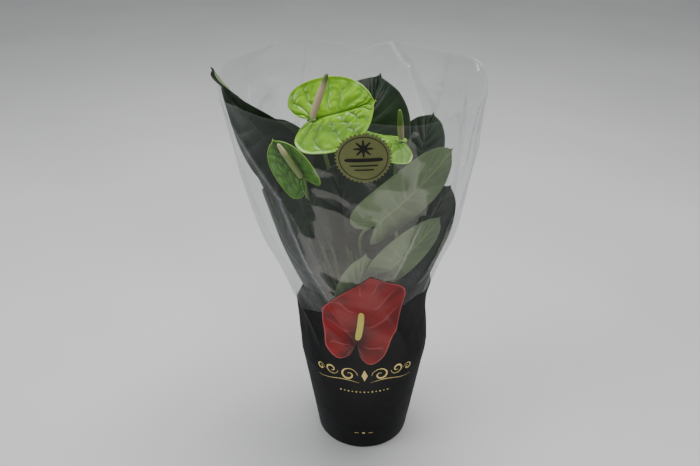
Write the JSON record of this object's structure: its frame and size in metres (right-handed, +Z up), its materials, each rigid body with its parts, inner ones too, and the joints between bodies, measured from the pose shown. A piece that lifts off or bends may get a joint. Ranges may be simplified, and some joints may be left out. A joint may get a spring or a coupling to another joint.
{
  "type": "potted anthurium in a florist's sleeve",
  "caption": "Potted flamingo-flower plant with heart-shaped dark leaves and lime green spathes, standing in a clear, part-printed florist's film sleeve.",
  "frame": {"origin": "centre of the pot's flat base, on the surface that it stands on", "axes": "+Z up through the pot and the plant, -Y towards the printed front of the sleeve, +X to the right of it seen from the front"},
  "size_m": [0.2672, 0.2672, 0.4885],
  "materials": {
    "pot_plastic": "black moulded nursery pot, satin",
    "potting_soil": "damp fibrous peat with crumbs of bark",
    "crown_stem": "woody olive stem with dry brown sheaths",
    "leaf_blade": "leathery dark green leaf, glossy above, paler and duller below",
    "petiole": "smooth mid green leaf stalk",
    "spathe": "waxy lime green, quilted between the veins",
    "spadix": "cream, finely beaded, green towards the tip",
    "peduncle": "smooth light green flower stalk",
    "sleeve_film": "thin clear crinkled polypropylene film",
    "sleeve_print": "satin black, red and gold ink on the film"
  },
  "bodies": {
    "root": {"pot": "pot_plastic", "soil": "potting_soil", "crown_1": "crown_stem", "crown_2": "crown_stem", "crown_3": "crown_stem", "leaf_back_blade": "leaf_blade", "leaf_back_left_blade": "leaf_blade", "leaf_back_left_petiole": "petiole", "leaf_back_petiole": "petiole", "leaf_back_right_blade": "leaf_blade", "leaf_back_right_petiole": "petiole", "leaf_centre_blade": "leaf_blade", "leaf_centre_petiole": "petiole", "leaf_edge_left_blade": "leaf_blade", "leaf_edge_left_petiole": "petiole", "leaf_edge_right_blade": "leaf_blade", "leaf_edge_right_petiole": "petiole", "leaf_front_right_blade": "leaf_blade", "leaf_front_right_petiole": "petiole", "leaf_left_blade": "leaf_blade", "leaf_left_petiole": "petiole", "leaf_low_back_blade": "leaf_blade", "leaf_low_back_petiole": "petiole", "leaf_low_front_blade": "leaf_blade", "leaf_low_front_petiole": "petiole", "leaf_low_left_blade": "leaf_blade", "leaf_low_left_petiole": "petiole", "leaf_low_right_blade": "leaf_blade", "leaf_low_right_petiole": "petiole", "leaf_right_blade": "leaf_blade", "leaf_right_petiole": "petiole", "leaf_young_blade": "leaf_blade", "leaf_young_petiole": "petiole", "flower_large_peduncle": "peduncle", "flower_large_spadix": "spadix", "flower_large_spathe": "spathe", "flower_left_peduncle": "peduncle", "flower_left_spadix": "spadix", "flower_left_spathe": "spathe", "flower_right_peduncle": "peduncle", "flower_right_spadix": "spadix", "flower_right_spathe": "spathe", "sleeve_front": "sleeve_film", "sleeve_back": "sleeve_film"}
  },
  "joints": []
}
